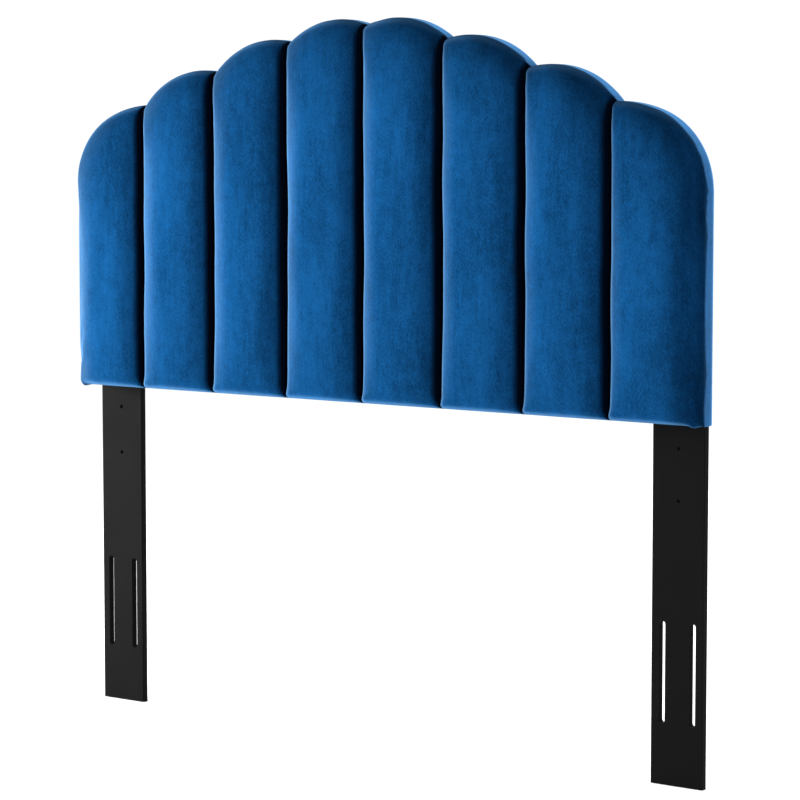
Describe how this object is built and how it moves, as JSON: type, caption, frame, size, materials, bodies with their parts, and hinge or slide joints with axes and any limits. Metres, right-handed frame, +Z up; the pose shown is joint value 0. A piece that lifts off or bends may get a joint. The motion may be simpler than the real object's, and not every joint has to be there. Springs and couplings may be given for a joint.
{
  "type": "upholstered headboard",
  "caption": "Headboard with upright velvet channels under a scalloped arch, on flat black legs with long upright slots that bolt to a bed frame.",
  "frame": {"origin": "on the floor under the middle of the whole headboard's width and depth", "axes": "+X along the headboard to the right as seen from its padded front, +Y towards its back, +Z up"},
  "size_m": [1.422, 0.0882, 1.3102],
  "materials": {
    "blue_velvet": "matte",
    "foam": "matte",
    "strip_board": "matte",
    "plywood": "matte",
    "pine": "matte",
    "black_leg_paint": "satin",
    "black_lining": "matte",
    "staple_wire": "satin",
    "zinc_plated_steel": "satin",
    "black_oxide_steel": "satin"
  },
  "bodies": {
    "root": {"bottom_rail": "pine", "centre_stile": "pine", "dust_cover": "black_lining", "edge_foam": "foam", "face_board": "plywood", "face_board_screws": "zinc_plated_steel", "foam_channel_1": "foam", "foam_channel_2": "foam", "foam_channel_3": "foam", "foam_channel_4": "foam", "foam_channel_5": "foam", "foam_channel_6": "foam", "foam_channel_7": "foam", "foam_channel_8": "foam", "foam_underlay": "foam", "left_arch_inner": "plywood", "left_arch_outer": "plywood", "left_flat_washers": "zinc_plated_steel", "left_leg": "black_leg_paint", "left_leg_bolts": "black_oxide_steel", "left_lock_washers": "zinc_plated_steel", "left_mid_rail": "pine", "left_stile": "pine", "left_tee_nuts": "zinc_plated_steel", "rear_staples": "staple_wire", "right_arch_inner": "plywood", "right_arch_outer": "plywood", "right_flat_washers": "zinc_plated_steel", "right_leg": "black_leg_paint", "right_leg_bolts": "black_oxide_steel", "right_lock_washers": "zinc_plated_steel", "right_mid_rail": "pine", "right_stile": "pine", "right_tee_nuts": "zinc_plated_steel", "seam_strip_1": "strip_board", "seam_strip_2": "strip_board", "seam_strip_3": "strip_board", "seam_strip_4": "strip_board", "seam_strip_5": "strip_board", "seam_strip_6": "strip_board", "seam_strip_7": "strip_board", "velvet_cover": "blue_velvet"}
  },
  "joints": []
}
